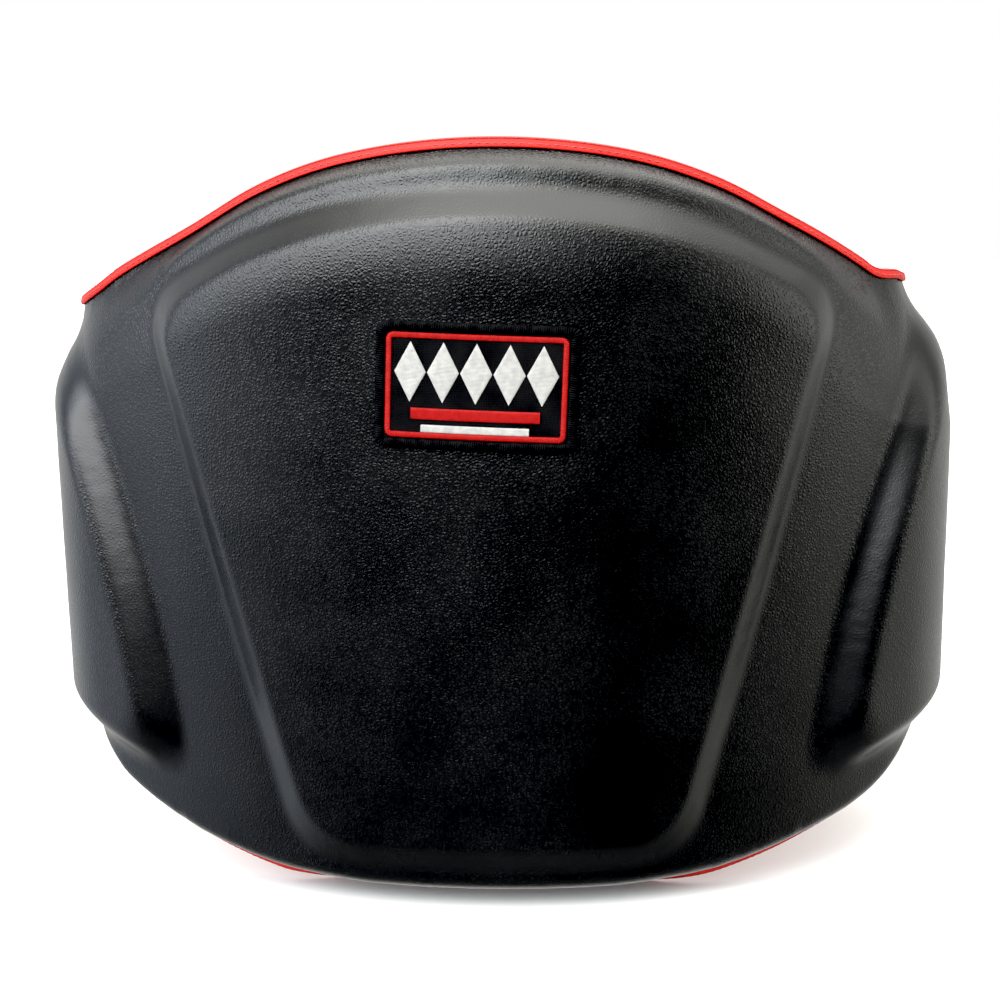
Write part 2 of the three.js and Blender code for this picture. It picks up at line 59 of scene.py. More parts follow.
PANEL_RISE = 7.5
PANEL_SLOPE = 14.0
PANEL_TOP_INSET = 37.0
PANEL_LOW_INSET = 34.0
PAD_RISE = 14.0
PAD_SLOPE = 18.0
RIGHT_PAD_TOP_INSET = 45.0
LEFT_PAD_TOP_INSET = 38.0
PAD_TOP_EASE = 0.6
PAD_END_INSET = 32.0
ROLL_RISE = 1.6
ROLL_CREST = 12.0
ROLL_INSET = 21.0
HIP_FADE = 32.0
RIM_FRONT = -4.0
RIM_BACK = -9.0
LOW_TUCK = 27.0
TUCK_ROUND = 16.0
LEAN_BACK = 21.0
LEAN_HEIGHT = 66.0
HIP_LEAN = 10.0
HIP_HEIGHT = 80.0
HIP_RISE = 8.0
BACK_DEPTH = -43.5
BACK_TAPER = 40.0
COVER_THICK = 1.6
LINING_THICK = 1.2
FOAM_INSET = 10.0
RIM_LINE = 3.2
BINDING_LEG = 2.6
BINDING_THICK = 1.2
WEB = 1.8
STITCH_PITCH = 4.2
STITCH_LENGTH = 3.3
STITCH_THICK = 0.55
BELT_WIDTH = 100.0
BELT_ROOT_RISE = 98.0
BELT_THICK = 2.0
ELASTIC_THICK = 2.5
FACE_THICK = 1.5
LOOP_BACK_Y = 276.0
LOOP_TIP_X = 45.0
HOOK_TIP_X = -75.0
HOOK_START_X = 75.0
TAB_LENGTH = 32.0
ANCHOR_LENGTH = 38.0
GAP = 0.3
PATCH_WIDTH = 98.0
PATCH_HEIGHT = 61.0
PATCH_U = -3.3
PATCH_Z = 258.3
PATCH_TILT = math.radians(-2.65)
TWILL_TOP = GAP + 0.9
THREAD_LOW = TWILL_TOP + 0.05
SATIN_BASE = THREAD_LOW - 0.2
SATIN_HIGH = 0.9
SATIN_PITCH = 0.62
DIAMOND_COUNT = 5
DIAMOND_PITCH = 15.9
DIAMOND_HALF_WIDTH = 7.6
DIAMOND_HALF_HEIGHT = 14.4
DIAMOND_LEVEL = 6.5

# ---------- camera and light, distances in millimetres of the sheet frame ----------
CAMERA_EYE = (49.6, -765.4, 344.5)
CAMERA_TARGET = (0, 60, 180)
CAMERA_ROLL = math.radians(-0.8)
CAMERA_LENS = 57.4
CAMERA_SHIFT = (0.0067, 0.0207)
CEILING = 3.3
SKYLIGHT = 7.6
WINDOW = 1.05
WALL = 1.3
BEHIND = 1.0
TABLE = 0.2
BLACK_LEVEL = 0.0155

lowest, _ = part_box("outer_cover")
BOTTOM_Z = -12.0
SHIFT = np.array([0.0, lowest.y / MM + PANEL_RISE, lowest.z / MM - BOTTOM_Z])


# ---------- small helpers ----------
def smooth(x, a, b):
    t = np.clip((x - a) / (b - a), 0.0, 1.0)
    return t * t * (3 - 2 * t)


def smooth_min(a, b, k):
    t = np.clip(0.5 + 0.5 * (b - a) / k, 0.0, 1.0)
    return b + (a - b) * t - k * t * (1 - t)


def lerp(a, b, t):
    return a + (b - a) * t


def ramp(d, width, foot, brow):
    """0 where d is under -width, 1 where it is over 0, straight between, with a round foot and brow."""
    t = 1 + d / width
    t = -smooth_min(-t, 0.0, foot)
    return smooth_min(t, 1.0, brow)


def through(points):
    """A smooth curve through a few (u, value) points, level where two neighbours are level."""
    u, v = np.array(points, float).T
    secant = np.diff(v) / np.diff(u)
    slope = np.zeros(len(u))
    slope[-1] = secant[-1]
    slope[1:-1] = np.where(secant[:-1] * secant[1:] > 0, (secant[:-1] + secant[1:]) / 2, 0)

    def curve(x):
        x = np.minimum(np.abs(x), u[-1])
        i = np.clip(np.searchsorted(u, x, side="right") - 1, 0, len(u) - 2)
        w = u[i + 1] - u[i]
        t = (x - u[i]) / w
        rise = v[i + 1] - v[i]
        bend = (1 - t) * (slope[i] * w - rise) + t * (rise - slope[i + 1] * w)
        return v[i] + rise * t + t * (1 - t) * bend

    return curve


def waves(x, y, size, seed):
    """Soft seeded noise from -1 to 1 with features about size across."""
    lattice = np.random.default_rng(seed).uniform(-1, 1, (64, 64))
    gx = np.asarray(x, float) / size + 1000
    gy = np.asarray(y, float) / size + 1000
    ix = np.floor(gx).astype(int)
    iy = np.floor(gy).astype(int)
    fx = gx - ix
    fy = gy - iy
    fx = fx * fx * (3 - 2 * fx)
    fy = fy * fy * (3 - 2 * fy)
    low = lerp(lattice[ix % 64, iy % 64], lattice[(ix + 1) % 64, iy % 64], fx)
    high = lerp(lattice[ix % 64, (iy + 1) % 64], lattice[(ix + 1) % 64, (iy + 1) % 64], fx)
    return lerp(low, high, fy)


# ---------- the reference sheet ----------
PLAN_U = np.arange(0.0, 342.0)
between = PLAN_U[:-1] + 0.5
bends = (
    CURVE_FRONT
    + (CURVE_HIP - CURVE_FRONT) * smooth(between, 217, 235)
    + (CURVE_WING - CURVE_HIP) * smooth(between, 255, 320)
)
PLAN_TURN = np.concatenate([[0.0], np.cumsum(bends)])
halfway = PLAN_TURN[:-1] + bends / 2
PLAN_X = np.concatenate([[0.0], np.cumsum(np.cos(halfway))])
PLAN_Y = np.concatenate([[0.0], np.cumsum(np.sin(halfway))])


def place(points):
    """Millimetres of the sheet frame to metres of the row frame."""
    return (np.asarray(points, float) + SHIFT) * MM


def lean(u, z):
    """How far the sheet leans back under the top rim."""
    t = np.clip(1 - (top_edge(u) - z) / LEAN_HEIGHT, 0, 1)
    hip = np.clip(1 - (top_edge(u) - z) / HIP_HEIGHT, 0, 1)
    front = LEAN_BACK * t * t * (1 - smooth(np.abs(u), 150, 290))
    return front + HIP_LEAN * hip * smooth(u, 170, 235) * (1 - smooth(u, 300, HALF_WRAP))


def at(u, z, h):
    """The point at distance u round the body, height z and h out of the sheet."""
    u, z, h = np.broadcast_arrays(np.asarray(u, float), np.asarray(z, float), np.asarray(h, float))
    h = h - lean(u, z)
    turn = np.interp(np.abs(u), PLAN_U, PLAN_TURN)
    x = np.interp(np.abs(u), PLAN_U, PLAN_X) + h * np.sin(turn)
    y = np.interp(np.abs(u), PLAN_U, PLAN_Y) - h * np.cos(turn)
    return place(np.stack([np.where(u < 0, -x, x), y, z], -1))


# ---------- outline and relief ----------
top_curve = through([
    (0, 374.5), (75, 368), (125, 354.5), (175, 333), (215, 315.5), (240, 303.5), (262, 297), (290, 295),
    (335, 292),
])
low_curve = through([(0, -12), (60, -12), (120, -6), (175, 5.5), (225, 21), (260, 41), (300, 57), (335, 64)])
pad_low = through([(0, 47), (120, 49), (172, 61), (205, 63), (250, 75), (335, 91)])


def wing_end(u):
    return smooth(np.abs(u), HALF_WRAP - 34, HALF_WRAP + 6)


def top_edge(u):
    return top_curve(u) + HIP_RISE * smooth(u, 225, 262) - 16 * wing_end(u)


def low_edge(u):
    return low_curve(u) + 10 * wing_end(u)


def panel_side(z):
    return 86 + 0.292 * z


def pad_side(z):
    return 172 + 0.00103 * np.minimum(z, 285) ** 2


def grade(edge, u):
    return (edge(u + 1) - edge(u - 1)) / 2


def square_to(edge, u):
    return 1 / np.hypot(1, grade(edge, u))


def rim_distance(u, z):
    top = (top_edge(u) - z) * square_to(top_edge, u)
    low = (z - low_edge(u)) * square_to(low_edge, u)
    return top, low, HALF_WRAP - np.abs(u)


def tucked(u, low):
    """How far the bottom rim is tucked in: most at the front, less towards the hips."""
    across = np.abs(u)
    shown = np.where(u < 0, 165, 200)
    eased = 1 - 0.5 * smooth(across, 70, 125) * (1 - smooth(across, shown, shown + 60))
    return eased * (1 - smooth(across, 200, 330)) * (1 - smooth(low, 20, 90))


def shapes(u, z):
    """Signed distances into the centre panel and the side pads, and the distance in from the rim."""
    top, low, end = rim_distance(u, z)
    across = np.abs(u)
    panel = smooth_min(top - PANEL_TOP_INSET, low - PANEL_LOW_INSET, 10)
    panel = smooth_min(panel, (panel_side(z) - across) * 0.96, 24)
    top_inset = np.where(u < 0, RIGHT_PAD_TOP_INSET, LEFT_PAD_TOP_INSET)
    pad = smooth_min((top - top_inset) * PAD_TOP_EASE, z - pad_low(u), 10)
    pad = smooth_min(pad, across - pad_side(z) - PAD_SLOPE, 26)
    pad = smooth_min(pad, end - PAD_END_INSET, 14)
    return panel, pad, np.minimum(np.minimum(top, low), end), low


def under_patch(u, z):
    """1 where the sewn patch lies flat on the panel."""
    du = np.abs(u - PATCH_U) - PATCH_WIDTH / 2
    dz = np.abs(z - PATCH_Z) - PATCH_HEIGHT / 2
    return 1 - smooth(np.maximum(du, dz), 3, 14)


def cover_front(u, z):
    """Height of the leather and how much of its grain shows."""
    panel, pad, near, low = shapes(u, z)
    on_panel = ramp(panel, PANEL_SLOPE, 0.22, 0.16)
    on_pad = ramp(pad, PAD_SLOPE - 1, 0.36, 0.3)
    raised = np.maximum(PANEL_RISE * on_panel, PAD_RISE * on_pad)
    lowered = tucked(u, low)
    hip = smooth(np.abs(u), 150, 225)
    edge = RIM_FRONT - LOW_TUCK * lowered
    crest = ROLL_RISE * (1 - lowered) * (1 - hip)
    roll = edge * (1 - smooth(near, RIM_LINE, lerp(ROLL_CREST, HIP_FADE, hip)))
    roll = roll + crest * smooth(near, RIM_LINE, ROLL_CREST) * (1 - smooth(near, ROLL_CREST, ROLL_INSET))
    share = np.clip((near - RIM_LINE) / (TUCK_ROUND - RIM_LINE), 0, 1)
    under = edge * (1 - np.sqrt(1 - (1 - share) ** 2))
    rim = lerp(roll, under, np.minimum(1, 2 * lowered))
    # The roll is drawn together by its sewing, and the taut leather wrinkles across the valleys.
    gathers = waves(u, near * 0.25, 5.5, 11) * smooth(near, 4, 7) * (1 - smooth(near, 12, 20))
    slope_panel = smooth(panel, -PANEL_SLOPE - 9, -PANEL_SLOPE) * (1 - smooth(panel, -4, 0))
    slope_pad = smooth(pad, -PAD_SLOPE - 9, -PAD_SLOPE) * (1 - smooth(pad, -4, 0))
    creases = waves(u + 0.6 * z, z - 0.3 * u, 6.5, 5) * 0.5 + waves(u - z, z + u, 4.2, 6) * 0.5
    sags = waves(u, z, 46, 3) * 0.7 + waves(u + 9, z + 4, 21, 4) * 0.3
    calm = 1 - 0.85 * under_patch(u, z)
    away = smooth(near, 5, 14)
    height = raised + rim
    height = height + 0.34 * gathers * (1 - 0.6 * lowered)
    height = height + 0.12 * creases * np.maximum(slope_panel, slope_pad) * away
    height = height + 0.22 * sags * calm * away
    height = height - 0.25 * under_patch(u, z)
    bevel = np.maximum(
        smooth(panel, -PANEL_SLOPE - 2, -PANEL_SLOPE + 2) * (1 - smooth(panel, -3, 0)),
        smooth(pad, -PAD_SLOPE - 2, -PAD_SLOPE + 2) * (1 - smooth(pad, -3, 0)),
    )
    grain = 1 - 0.75 * bevel
    return height, grain


def lining_back(u, z):
    top, low, end = rim_distance(u, z)
    near = np.minimum(np.minimum(top, low), end)
    edge = RIM_BACK - LOW_TUCK * tucked(u, low)
    t = np.clip((near - RIM_LINE) / BACK_TAPER, 0, 1)
    soft = waves(u, z, 38, 21) * 0.6 + waves(u, z, 15, 22) * 0.25
    pulled = waves(u, near * 0.3, 7, 23) * smooth(near, 5, 8) * (1 - smooth(near, 12, 26))
    return lerp(edge, BACK_DEPTH, np.sin(t * math.pi / 2)) + soft * smooth(near, 8, 24) + 0.4 * pulled


# ---------- grids that follow the rims, the panel's sides and the pads' slopes ----------
def steps(anchors, counts):
    """Values between the anchors, evenly spaced inside each span."""
    spans = [lerp(a, b, n / count) for a, b, count in zip(anchors, anchors[1:], counts) for n in range(count)]
    return np.array([*spans, anchors[-1]])


def between_anchors(anchors, where):
    """The anchor values at fractional indices, place by place."""
    i = np.clip(np.floor(where).astype(int), 0, len(anchors) - 2)
    stack = np.stack(anchors)
    below = np.take_along_axis(stack, i[None], 0)[0]
    above = np.take_along_axis(stack, i[None] + 1, 0)[0]
    return lerp(below, above, where - i)


def column_at(s, z):
    """Distance from the centre line of column s at height z."""
    side = panel_side(z)
    foot = pad_side(z)
    last = HALF_WRAP - PAD_END_INSET
    anchors = [
        0 * z, side - 4, side, side + PANEL_SLOPE, side + PANEL_SLOPE + 3, foot - 3, foot,
        foot + PAD_SLOPE, foot + PAD_SLOPE + 4, last - 4 + 0 * z, last + 0 * z, last + PAD_SLOPE - 1 + 0 * z,
        HALF_WRAP - FOAM_INSET + 0 * z, HALF_WRAP - RIM_LINE + 0 * z, HALF_WRAP + 0 * z,
    ]
    return between_anchors(anchors, s)


def row_at(t, u):
    """Height of row t at distance u from the centre line."""
    outward = smooth(np.abs(u), 110, 250)
    low_step = square_to(low_edge, u)
    top_step = square_to(top_edge, u)
    low = low_edge(u)
    top = top_edge(u)
    bevel_foot = lerp(low + (PANEL_LOW_INSET - PANEL_SLOPE) / low_step, low + 18 / low_step, outward)
    panel_low = lerp(low + PANEL_LOW_INSET / low_step, low + 22 / low_step, outward)
    slope_low = np.maximum(lerp(low + 40 / low_step, pad_low(u) - PAD_SLOPE + 1, outward), panel_low + 3)
    slope_high = np.maximum(pad_low(u), slope_low + 6)
    anchors = [
        low, low + RIM_LINE / low_step, low + TUCK_ROUND / low_step,
        bevel_foot, panel_low, slope_low, slope_high,
        top - RIGHT_PAD_TOP_INSET / top_step, top - PANEL_TOP_INSET / top_step,
        top - (PANEL_TOP_INSET - PANEL_SLOPE) / top_step, top - ROLL_INSET / top_step,
        top - FOAM_INSET / top_step, top - RIM_LINE / top_step, top,
    ]
    return between_anchors(anchors, t)


def grid(column_counts, row_counts):
    """Places (u, z) of a grid over the whole shell."""
    half = steps(list(range(len(column_counts) + 1)), column_counts)
    across = np.concatenate([-half[:0:-1], half])
    up = steps(list(range(len(row_counts) + 1)), row_counts)
    s, t = np.meshgrid(np.abs(across), up, indexing="ij")
    sign = np.where(across < 0, -1.0, 1.0)[:, None]
    z = np.full(s.shape, 180.0)
    for _ in range(30):
        u = column_at(s, z) * sign
        z = row_at(t, u)
    return u, z


# ---------- meshes ----------
def make_object(name, points, faces, material, body, stand_for=()):
    mesh = bpy.data.meshes.new(name)
    mesh.from_pydata(np.asarray(points).reshape(-1, 3).tolist(), [], faces)
    mesh.validate()
    mesh.update()
    mesh.polygons.foreach_set("use_smooth", [True] * len(mesh.polygons))
    made = bpy.data.objects.new(name, mesh)
    bpy.context.scene.collection.objects.link(made)
    made.data.materials.append(material)
    if body:
        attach(made, body)
    if stand_for:
        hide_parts(*stand_for)
    return made


def outward_faces(points, faces):
    """The same quads, turned so that they face out of the closed form."""
    p = np.asarray(points).reshape(-1, 3)
    q = np.array(faces)
    a, b, c, d = (p[q[:, k]] for k in range(4))
    volume = np.einsum("ij,ij->i", a, np.cross(b, c)).sum() + np.einsum("ij,ij->i", a, np.cross(c, d)).sum()
    return q[:, ::-1].tolist() if volume < 0 else q.tolist()


def slab(front, back):
    """Points and quads of a closed slab between two grids of points of one shape."""
    rows, columns = front.shape[:2]
    index = np.arange(2 * rows * columns).reshape(2, rows, columns)
    f, b = index

    def quads(p, q, r, s):
        return np.stack([p.ravel(), q.ravel(), r.ravel(), s.ravel()], -1)

    faces = np.concatenate([
        quads(f[:-1, :-1], f[1:, :-1], f[1:, 1:], f[:-1, 1:]),
        quads(b[:-1, :-1], b[:-1, 1:], b[1:, 1:], b[1:, :-1]),
        quads(f[:-1, 0], b[:-1, 0], b[1:, 0], f[1:, 0]),
        quads(f[:-1, -1], f[1:, -1], b[1:, -1], b[:-1, -1]),
        quads(f[0, :-1], f[0, 1:], b[0, 1:], b[0, :-1]),
        quads(f[-1, :-1], b[-1, :-1], b[-1, 1:], f[-1, 1:]),
    ])
    points = np.concatenate([front.reshape(-1, 3), back.reshape(-1, 3)])
    return points, outward_faces(points, faces)


def sweep(sections, looped):
    """Points and quads of a solid swept along sections, an array (stations, ring, 3)."""
    stations, ring = sections.shape[:2]
    index = np.arange(stations * ring).reshape(stations, ring)
    following = np.roll(index, -1, 0) if looped else index[1:]
    here = index if looped else index[:-1]
    beside = np.roll(index, -1, 1)
    beside_next = np.roll(beside, -1, 0) if looped else beside[1:]
    beside_here = beside if looped else beside[:-1]
    faces = np.stack([here.ravel(), beside_here.ravel(), beside_next.ravel(), following.ravel()], -1)
    points = sections.reshape(-1, 3)
    faces = outward_faces(points, faces)
    if not looped:
        flip = faces[0][0] != index[0, 0]
        first = index[0].tolist()
        last = index[-1].tolist()
        faces.append(first if flip else first[::-1])
        faces.append(last[::-1] if flip else last)
    return points, faces


def tag(made, name, values):
    attribute = made.data.attributes.new(name, "FLOAT", "POINT")
    attribute.data.foreach_set("value", np.asarray(values, np.float32).ravel())


def resample(path, pitch):
    """Evenly spaced places on a polyline, as fractional indices."""
    lengths = np.linalg.norm(np.diff(path, axis=0), axis=1)
    total = np.concatenate([[0.0], np.cumsum(lengths)])
    count = max(2, int(round(total[-1] / pitch)))
    wanted = (np.arange(count) + 0.5) * total[-1] / count
    return np.interp(wanted, total, np.arange(len(total)))


def pick(values, where):
    i = np.clip(np.floor(where).astype(int), 0, len(values) - 2)
    t = (where - i)[:, None]
    return values[i] * (1 - t) + values[i + 1] * t


def unit(v):
    return v / np.linalg.norm(v, axis=-1, keepdims=True)


def stitch_mesh(runs):
    """Points and quads of sewn stitches along runs of (path, outward normals), in metres."""
    sides = 6
    stations = np.array([-1.0, -0.86, -0.5, 0.0, 0.5, 0.86, 1.0])
    width = np.array([0.35, 0.75, 1.0, 1.0, 1.0, 0.75, 0.35]) * STITCH_THICK / 2 * MM
    lift = np.array([-0.35, 0.1, 0.42, 0.5, 0.42, 0.1, -0.35]) * STITCH_THICK * MM
    angle = np.arange(sides) / sides * 2 * math.pi
    points = []
    faces = []
    made = 0
    for path, normals in runs:
        where = resample(path, STITCH_PITCH * MM)
        centre = pick(path, where)
        normal = unit(pick(normals, where))
        ahead = pick(path, np.minimum(where + 0.3, len(path) - 1))
        behind = pick(path, np.maximum(where - 0.3, 0))
        along = unit(ahead - behind)
        beside = unit(np.cross(normal, along))
        middle = centre[:, None] + along[:, None] * stations[None, :, None] * STITCH_LENGTH / 2 * MM
        middle = middle + normal[:, None] * lift[None, :, None]
        ring = (
            beside[:, None, None] * np.cos(angle)[None, None, :, None]
            + normal[:, None, None] * np.sin(angle)[None, None, :, None]
        )
        rings = middle[:, :, None] + ring * width[None, :, None, None]
        _, pattern = sweep(rings[0], False)
        for number in range(len(rings)):
            base = made + number * len(stations) * sides
            faces.extend([[k + base for k in face] for face in pattern])
        points.append(rings.reshape(-1, 3))
        made += len(points[-1])
    return np.concatenate(points), faces


# ---------- materials ----------
def material(name, colour, roughness, **sockets):
    made = bpy.data.materials.new(name)
    made.use_nodes = True
    shader = made.node_tree.nodes["Principled BSDF"]
    shader.inputs["Base Color"].default_value = (*colour, 1)
    shader.inputs["Roughness"].default_value = roughness
    for socket, value in sockets.items():
        shader.inputs[socket.replace("_", " ")].default_value = value
    return made


def node(made, kind, inputs=None, **settings):
    new = made.node_tree.nodes.new(kind)
    for key, value in settings.items():
        setattr(new, key, value)
    for socket, value in (inputs or {}).items():
        if isinstance(value, bpy.types.NodeSocket):
            made.node_tree.links.new(value, new.inputs[socket])
        else:
            new.inputs[socket].default_value = value
    return new


def shader_link(made, socket, value):
    shader = made.node_tree.nodes["Principled BSDF"]
    made.node_tree.links.new(value, shader.inputs[socket])


def position(made):
    return node(made, "ShaderNodeTexCoord").outputs["Object"]


def blend_math(made, operation, a, b):
    return node(made, "ShaderNodeMath", {0: a, 1: b}, operation=operation).outputs[0]


def spread(made, value, low, high, out_low=0.0, out_high=1.0):
    return node(
        made, "ShaderNodeMapRange",
        {"Value": value, "From Min": low, "From Max": high, "To Min": out_low, "To Max": out_high},
        interpolation_type="SMOOTHSTEP",
    ).outputs[0]


def noise(made, scale, detail=2.0, roughness=0.5):
    return node(
        made, "ShaderNodeTexNoise",
        {"Vector": position(made), "Scale": scale, "Detail": detail, "Roughness": roughness},
    ).outputs["Fac"]


def two_tone(made, factor, dark, light):
    return node(
        made, "ShaderNodeMix", {"Factor": factor, 6: (*dark, 1), 7: (*light, 1)}, data_type="RGBA",
    ).outputs[2]


def relief(made, height, distance):
    bump = node(made, "ShaderNodeBump", {"Height": height, "Distance": distance, "Strength": 1.0})
    shader_link(made, "Normal", bump.outputs["Normal"])


def leather(name, dark, light, roughness, cell, depth, faded=False, shine=0.5):
    """Grained leather: pebbles about cell millimetres across, finer on stretched bevels."""
    made = material(name, dark, roughness, Specular_IOR_Level=shine)
    where = position(made)
    warp = node(made, "ShaderNodeTexNoise", {"Vector": where, "Scale": 260.0, "Detail": 1.0})
    shifted = node(
        made, "ShaderNodeMix", {"Factor": 0.0016, 4: where, 5: warp.outputs["Color"]}, data_type="VECTOR",
    )
    cells = node(
        made, "ShaderNodeTexVoronoi", {"Vector": shifted.outputs[1], "Scale": 1 / (cell * MM)},
        feature="DISTANCE_TO_EDGE",
    ).outputs["Distance"]
    pebbles = spread(made, cells, 0.0, 0.45)
    fine = noise(made, 1500.0, 2.0)
    height = blend_math(made, "ADD", pebbles, blend_math(made, "MULTIPLY", fine, 0.35))
    if faded:
        grain = node(made, "ShaderNodeAttribute", attribute_name="grain").outputs["Fac"]
        height = blend_math(made, "MULTIPLY", height, grain)
    relief(made, height, depth * MM)
    broad = noise(made, 22.0, 3.0)
    tone = blend_math(made, "MULTIPLY", spread(made, broad, 0.3, 0.7), pebbles)
    shader_link(made, "Base Color", two_tone(made, tone, dark, light))
    worn = spread(made, broad, 0.3, 0.7, roughness - 0.02, roughness + 0.03)
    shader_link(made, "Roughness", worn)
    return made


def cloth(name, dark, light, roughness, pitch, depth, sheen=0.0, shine=0.3):
    """Woven cloth: fine threads across each other."""
    made = material(name, dark, roughness, Sheen_Weight=sheen, Specular_IOR_Level=shine)
    waves_at = {"Vector": position(made), "Scale": 1 / (pitch * MM) / 3.2, "Distortion": 0.4}
    warp, weft = (
        node(made, "ShaderNodeTexWave", waves_at, bands_direction=along).outputs["Fac"] for along in "ZX"
    )
    threads = blend_math(made, "MAXIMUM", warp, weft)
    fuzz = noise(made, 2200.0, 2.0)
    height = blend_math(made, "ADD", threads, blend_math(made, "MULTIPLY", fuzz, 0.5))
    relief(made, height, depth * MM)
    tone = blend_math(made, "MULTIPLY", threads, spread(made, noise(made, 60.0), 0.2, 0.8))
    shader_link(made, "Base Color", two_tone(made, tone, dark, light))
    return made


def thread(name, dark, light, roughness=0.45, sheen=0.3, shine=0.5):
    """Embroidery or sewing thread: fine strands, slightly uneven in colour."""
    made = material(name, dark, roughness, Sheen_Weight=sheen, Specular_IOR_Level=shine)
    strands = noise(made, 1800.0, 2.0, 0.6)
    relief(made, strands, 0.12 * MM)
    shader_link(made, "Base Color", two_tone(made, spread(made, noise(made, 300.0), 0.3, 0.7), dark, light))
    return made


def foam(name, dark, light):
    """Firm foam with open pores."""
    made = material(name, dark, 0.9)
    pores = node(
        made, "ShaderNodeTexVoronoi", {"Vector": position(made), "Scale": 900.0},
    ).outputs["Distance"]
    relief(made, pores, 0.3 * MM)
    shader_link(made, "Base Color", two_tone(made, pores, dark, light))
    return made


black_leather = leather(
    "black_leather", (0.004, 0.0041, 0.0045), (0.008, 0.0082, 0.0088), 0.28, 1.8, 0.11, faded=True,
)
strap_leather = leather("strap_leather", (0.0065, 0.0067, 0.0072), (0.014, 0.0143, 0.015), 0.42, 1.5, 0.18)
red_leather = leather(
    "red_leather", (0.42, 0.017, 0.013), (0.52, 0.026, 0.019), 0.5, 0.9, 0.05, shine=0.22,
)
lining_leather = leather("lining_leather", (0.34, 0.016, 0.014), (0.44, 0.026, 0.02), 0.5, 1.3, 0.1)
twill_cloth = cloth("twill_cloth", (0.003, 0.003, 0.0035), (0.009, 0.009, 0.010), 0.85, 0.8, 0.15, 0.0, 0.1)
webbing_cloth = cloth("webbing_cloth", (0.008, 0.008, 0.009), (0.024, 0.024, 0.026), 0.75, 1.5, 0.3, 0.05)
elastic_cloth = cloth("elastic_cloth", (0.009, 0.009, 0.010), (0.028, 0.028, 0.03), 0.7, 0.9, 0.18, 0.05)
black_thread = thread("black_thread", (0.0025, 0.0025, 0.003), (0.008, 0.008, 0.009), 0.7, 0.0, 0.08)
dark_red_thread = thread("dark_red_thread", (0.24, 0.012, 0.012), (0.38, 0.022, 0.02))
red_thread = thread("red_thread", (0.25, 0.005, 0.005), (0.30, 0.008, 0.007), 0.5, 0.0, 0.18)
white_thread = thread("white_thread", (0.31, 0.305, 0.295), (0.38, 0.375, 0.36), 0.5, 0.0, 0.2)
insert_foam = foam("insert_foam", (0.03, 0.07, 0.16), (0.06, 0.12, 0.24))


# ---------- camera ----------
def place_camera():
    camera = bpy.data.objects.new("camera", bpy.data.cameras.new("camera"))
    bpy.context.scene.collection.objects.link(camera)
    eye = Vector(place(CAMERA_EYE))
    target = Vector(place(CAMERA_TARGET))
    ahead = (target - eye).normalized()
    level = ahead.cross(Vector((0, 0, 1))).normalized()
    upright = level.cross(ahead)
    right = level * math.cos(CAMERA_ROLL) + upright * math.sin(CAMERA_ROLL)
    above = upright * math.cos(CAMERA_ROLL) - level * math.sin(CAMERA_ROLL)
    turn = Matrix((right, above, -ahead)).transposed().to_4x4()
    camera.matrix_world = Matrix.Translation(eye) @ turn
    camera.data.sensor_width = 36
    camera.data.lens = CAMERA_LENS
    camera.data.shift_x, camera.data.shift_y = CAMERA_SHIFT
    camera.data.dof.use_dof = False
    bpy.context.scene.camera = camera


place_camera()


# ---------- the padded shell ----------
def build_shell():
    u, z = grid(
        [56, 3, 8, 2, 34, 2, 9, 3, 26, 3, 8, 3, 4, 3],
        [3, 9, 4, 7, 12, 9, 104, 3, 8, 4, 7, 5, 3],
    )
    height, grain = cover_front(u, z)
    points, faces = slab(at(u, z, height), at(u, z, height - COVER_THICK + 0.2))
    cover = make_object(
        "cover_skin", points, faces, black_leather, "shell", ["outer_cover", "impact_foam"],
    )
    tag(cover, "grain", np.concatenate([grain.ravel(), grain.ravel()]))

    u, z = grid(
        [26, 2, 4, 2, 16, 2, 4, 2, 12, 2, 4, 3, 3, 3],
        [3, 5, 2, 4, 6, 5, 52, 2, 4, 3, 4, 3, 3],
    )
    level = lining_back(u, z)
    points, faces = slab(at(u, z, level + LINING_THICK), at(u, z, level))
    lining = make_object(
        "lining_skin", points, faces, lining_leather, "shell", ["lining", "comfort_foam"],
    )


build_shell()
for name in ("right_insert", "center_insert", "left_insert"):
    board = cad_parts[name]
    board.data.materials.clear()
    board.data.materials.append(insert_foam)


# ---------- bindings ----------
def rim_path(kind):
    """Places on the rim and the direction out of it, in the sheet: u, z, du, dz."""
    if kind in ("top", "bottom"):
        edge = top_edge if kind == "top" else low_edge
        u = np.linspace(-HALF_WRAP - WEB, HALF_WRAP + WEB, 321)
        kept = np.clip(u, -HALF_WRAP, HALF_WRAP)
        z = edge(kept)
        slope = grade(edge, kept)
        out = 1.0 if kind == "top" else -1.0
        size = np.hypot(1, slope)
        return u, z, -slope / size * out, out / size
    side = 1.0 if kind == "left" else -1.0
    low = low_edge(HALF_WRAP) + 0.8
    z = np.linspace(low, top_edge(side * HALF_WRAP) - 0.8, 100)
    return np.full(100, side * HALF_WRAP), z, np.full(100, side), np.zeros(100)


def setback(u, z):
    """How far the rim is set back from the front at a place."""
    _, low, _ = rim_distance(u, z)
    return LOW_TUCK * tucked(u, low)


